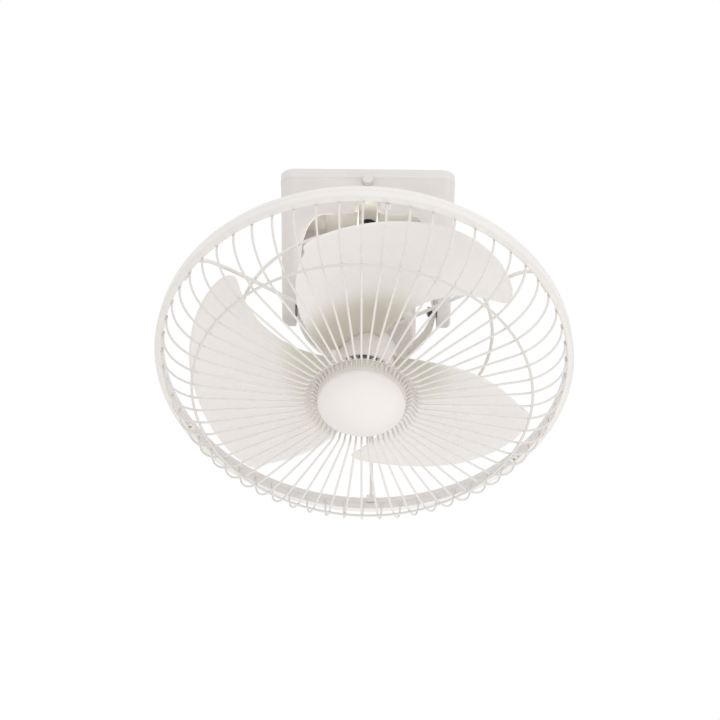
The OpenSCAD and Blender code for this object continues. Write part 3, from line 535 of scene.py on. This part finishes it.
def make_blade(number, turn):
    """A blade's two faces and the border between them, turned about the hub."""
    points, faces = [], []
    for side in (1, -1):
        for i in range(BLADE_ROWS):
            # even steps in the end arc's angle keep the two corners round
            u = 0.5 - 0.5 * math.cos(math.pi * i / (BLADE_ROWS - 1))
            for j in range(BLADE_COLS):
                v = 1 - (1 - j / (BLADE_COLS - 1)) ** COLUMN_POWER
                points.append(blade_point(u, v, side, turn))
    n = BLADE_ROWS * BLADE_COLS
    for i in range(BLADE_ROWS - 1):
        for j in range(BLADE_COLS - 1):
            a, b = i * BLADE_COLS + j, (i + 1) * BLADE_COLS + j
            faces.append((a, b, b + 1, a + 1))
            faces.append((n + a, n + a + 1, n + b + 1, n + b))
    border = [i * BLADE_COLS for i in range(BLADE_ROWS)]
    border += [(BLADE_ROWS - 1) * BLADE_COLS + j for j in range(1, BLADE_COLS)]
    border += [i * BLADE_COLS + BLADE_COLS - 1 for i in reversed(range(BLADE_ROWS - 1))]
    border += list(reversed(range(1, BLADE_COLS - 1)))
    for a, b in zip(border, border[1:] + border[:1]):
        faces.append((b, a, n + a, n + b))
    obj = piece(f"blade_skin_{number}", points, faces, "blade_plastic", "rotor", smooth_angle=60)
    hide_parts(f"blade_{number}")


# Blade hub: a thin cup, closed at the back and open towards the guard
HUB_BORE_R = 9.8
HUB_WALL = 3.5
HUB_BACK_H, HUB_INSIDE_H, HUB_LIP_H = -44.9, -41.8, 8.0
HUB_SIDES = 128
blade_hub_skin = turned(
    "blade_hub_skin",
    [(HUB_BORE_R, HUB_INSIDE_H), (HUB_BORE_R, HUB_BACK_H),
     (HUB_R - 3, HUB_BACK_H), (HUB_R - 1, HUB_BACK_H + 0.9), (HUB_R, HUB_BACK_H + 2.9),
     (HUB_R, HUB_LIP_H - 2.5), (HUB_R - 0.7, HUB_LIP_H - 0.8), (HUB_R - 2, HUB_LIP_H),
     (HUB_R - 3.2, HUB_LIP_H - 0.6), (HUB_R - HUB_WALL, HUB_LIP_H - 2),
     (HUB_R - HUB_WALL, HUB_INSIDE_H + 1.3), (HUB_R - HUB_WALL - 1, HUB_INSIDE_H)],
    head_point, "blade_plastic", "rotor", HUB_SIDES)
blade_hub_skin.data.materials[0] = HUB
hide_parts("blade_hub")

for number, turn in ((1, 0), (2, 120), (3, 240)):
    make_blade(number, turn)

# ---------------------------------------------------------------- softened parts
# Sheet, moulded and turned parts in sight get the small round edges that real ones have
SOFT_EDGES = {
    "hood": 1.6, "gimbal_ring": 0.6, "motor_front_shell": 0.9, "motor_rear_shell": 0.9,
    "hood_thumbscrews": 0.6, "orbit_bracket": 0.5, "ring_clips": 0.5,
    "strut_feet": 0.6, "crank_disc": 0.6,
    "orbit_gearmotor": 1.0, "ceiling_plate": 0.4, "terminal_block": 0.6, "capacitor": 1.2,
}
SOFT_SEGMENTS = 3
JOIN_DISTANCE = 2e-6
FLAT_ANGLE, BEVEL_ANGLE, SHARP_ANGLE = 0.8, 38.0, 40.0


def soften(node, width):
    """A copy of a CAD node with its sharp edges rounded, which stands for the node."""
    source = nodes[node]
    mesh = source.data.copy()
    mesh.transform(source.matrix_world)
    work = bmesh.new()
    work.from_mesh(mesh)
    bmesh.ops.remove_doubles(work, verts=work.verts, dist=JOIN_DISTANCE)
    bmesh.ops.dissolve_limit(
        work, angle_limit=math.radians(FLAT_ANGLE), verts=work.verts, edges=work.edges)
    work.to_mesh(mesh)
    work.free()
    obj = bpy.data.objects.new(f"{node}_soft", mesh)
    scene.collection.objects.link(obj)
    bevel = obj.modifiers.new("round", "BEVEL")
    bevel.width = width * MM
    bevel.segments = SOFT_SEGMENTS
    bevel.limit_method = "ANGLE"
    bevel.angle_limit = math.radians(BEVEL_ANGLE)
    bevel.use_clamp_overlap = True
    bpy.context.view_layer.update()
    shaped = bpy.data.meshes.new_from_object(obj.evaluated_get(bpy.context.evaluated_depsgraph_get()))
    obj.modifiers.clear()
    obj.data = shaped
    bpy.data.meshes.remove(mesh)
    shaped.shade_smooth()
    shaped.set_sharp_from_angle(angle=math.radians(SHARP_ANGLE))
    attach(obj, BODY_OF[node])
    shaped.materials.clear()
    shaped.materials.append(BY_SLOT[SLOT_OF[node]])
    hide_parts(node)


for node, width in SOFT_EDGES.items():
    soften(node, width)

# ---------------------------------------------------------------- stage and light
WHITE = (1, 1, 1, 1)
FLOOR_HALF, FLOOR_Z = 6.0, -1.6
SEEN_LIGHT, FILL_LIGHT = 1.0, 0.85
FAN_MIDDLE = (0, 0, -0.25)
HOOD_LAMP_SIZE = 0.03
HOOD_LAMP_COLOR = (0.98, 1.0, 0.97)


def make_floor():
    """A pale floor far below, which is stage and no part of the fan."""
    signs = ((-1, -1), (1, -1), (1, 1), (-1, 1))
    mesh = bpy.data.meshes.new("floor")
    mesh.from_pydata([(x * FLOOR_HALF, y * FLOOR_HALF, FLOOR_Z) for x, y in signs], [], [(0, 1, 2, 3)])
    floor = bpy.data.objects.new("floor", mesh)
    scene.collection.objects.link(floor)
    m = material("floor", linear(238, 238, 236), rough=0.8, mottle=0.01, scale=3)
    mesh.materials.append(m)


def make_world():
    """A white tent: plain white where it is seen, reflected or seen through, and soft as light."""
    world = bpy.data.worlds.new("studio")
    scene.world = world
    world.use_nodes = True
    t = world.node_tree
    t.nodes.clear()

    def background(strength):
        node = t.nodes.new("ShaderNodeBackground")
        node.inputs["Color"].default_value = WHITE
        node.inputs["Strength"].default_value = strength
        return node.outputs[0]

    path = t.nodes.new("ShaderNodeLightPath")
    seen = path.outputs["Is Camera Ray"]
    for kind in ("Is Glossy Ray", "Is Transmission Ray"):
        either = t.nodes.new("ShaderNodeMath")
        either.operation = "MAXIMUM"
        t.links.new(seen, either.inputs[0])
        t.links.new(path.outputs[kind], either.inputs[1])
        seen = either.outputs[0]
    mix = t.nodes.new("ShaderNodeMixShader")
    t.links.new(seen, mix.inputs[0])
    t.links.new(background(FILL_LIGHT), mix.inputs[1])
    t.links.new(background(SEEN_LIGHT), mix.inputs[2])
    out = t.nodes.new("ShaderNodeOutputWorld")
    t.links.new(mix.outputs[0], out.inputs["Surface"])


def area_light(name, at, aim, size, power):
    """A square lamp at a point, turned towards another."""
    data = bpy.data.lights.new(name, "AREA")
    data.shape = "SQUARE"
    data.size = size
    data.energy = power
    lamp = bpy.data.objects.new(name, data)
    scene.collection.objects.link(lamp)
    lamp.location = at
    lamp.rotation_euler = (Vector(aim) - Vector(at)).to_track_quat("-Z", "Y").to_euler()
    return lamp


make_floor()
make_world()
area_light("below", (0.1, 0.1, -1.5), FAN_MIDDLE, 0.8, 3.5)
area_light("front", (0.2, -2.2, 0.2), FAN_MIDDLE, 1.0, 5)
area_light("side", (2.0, -1.2, 0.1), FAN_MIDDLE, 0.8, 3.5)
# Light that a ceiling and walls would throw back into the hood
for name, at, aim, power in (
        ("hood_left", (-0.03, -0.055, -0.095), (-0.09, 0.05, -0.055), 0.045),
        ("hood_right", (0.02, -0.04, -0.085), (0.07, 0.02, -0.01), 0.03),
        ("hood_middle", (0, -0.05, -0.06), (0, 0.03, -0.03), 0.012)):
    lamp = area_light(name, at, aim, HOOD_LAMP_SIZE, power)
    lamp.visible_camera = False
    lamp.data.color = HOOD_LAMP_COLOR
scene.view_settings.view_transform = "Standard"
